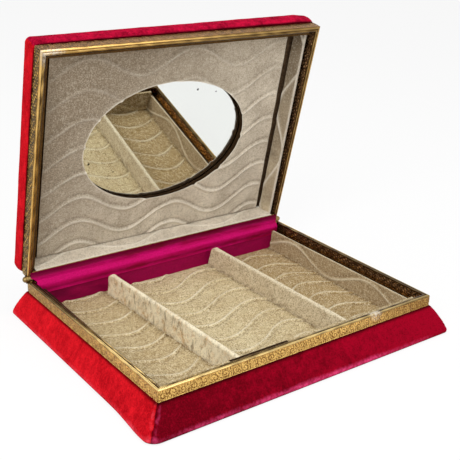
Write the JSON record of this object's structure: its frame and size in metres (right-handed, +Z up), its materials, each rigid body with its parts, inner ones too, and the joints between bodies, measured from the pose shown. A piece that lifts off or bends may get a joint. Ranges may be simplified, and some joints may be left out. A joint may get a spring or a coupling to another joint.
{
  "type": "vanity box",
  "caption": "Flared velvet table box with embossed brass rims, a plush tray split by dividers, and a hinged lid with an oval mirror.",
  "frame": {"origin": "middle of the underside, on the surface the box stands on", "axes": "+X to the right along the long front, +Y to the hinge at the rear, +Z up"},
  "size_m": [0.2942, 0.2361, 0.2367],
  "materials": {
    "red_velvet": "cotton velvet, short pile",
    "brass_strip": "embossed gilt strip, worn and darkened in the hollows",
    "hinge_brass": "dull brass",
    "beige_plush": "plush pile with raised wavy ribs",
    "plum_lining": "satin",
    "satin_ribbon": "satin",
    "box_board": "matte",
    "spacer_card": "matte",
    "bottom_cloth": "matte felt",
    "looking_glass": "polished"
  },
  "bodies": {
    "base": {"base_bottom_board": "box_board", "base_bottom_cloth": "bottom_cloth", "base_floor_pad": "beige_plush", "base_lining_front": "beige_plush", "base_lining_left": "beige_plush", "base_lining_rear": "plum_lining", "base_lining_right": "beige_plush", "base_rim_front": "brass_strip", "base_rim_left": "brass_strip", "base_rim_rear": "brass_strip", "base_rim_right": "brass_strip", "base_velvet_front": "red_velvet", "base_velvet_left": "red_velvet", "base_velvet_rear": "red_velvet", "base_velvet_right": "red_velvet", "base_wall_front": "box_board", "base_wall_left": "box_board", "base_wall_rear": "box_board", "base_wall_right": "box_board", "divider_left": "beige_plush", "divider_right": "beige_plush", "hinge_base_leaf_left": "hinge_brass", "hinge_base_leaf_right": "hinge_brass", "hinge_pin_left": "hinge_brass", "hinge_pin_right": "hinge_brass", "hinge_ribbon": "satin_ribbon"},
    "lid": {"hinge_lid_leaf_left": "hinge_brass", "hinge_lid_leaf_right": "hinge_brass", "lid_lining_front": "beige_plush", "lid_lining_left": "beige_plush", "lid_lining_rear": "beige_plush", "lid_lining_right": "beige_plush", "lid_panel": "beige_plush", "lid_panel_spacer": "spacer_card", "lid_rim_front": "brass_strip", "lid_rim_left": "brass_strip", "lid_rim_rear": "brass_strip", "lid_rim_right": "brass_strip", "lid_top_board": "box_board", "lid_velvet_front": "red_velvet", "lid_velvet_left": "red_velvet", "lid_velvet_rear": "red_velvet", "lid_velvet_right": "red_velvet", "lid_velvet_top": "red_velvet", "lid_wall_front": "box_board", "lid_wall_left": "box_board", "lid_wall_rear": "box_board", "lid_wall_right": "box_board", "mirror_glass": "looking_glass"}
  },
  "joints": [
    {"name": "lid_hinge", "type": "hinge", "parent": "base", "child": "lid", "pos_m": [0, 0.1016, 0.0333], "axis": [-1, 0, 0], "range_deg": [-77.9, 20], "deforming": ["hinge_ribbon"]}
  ]
}
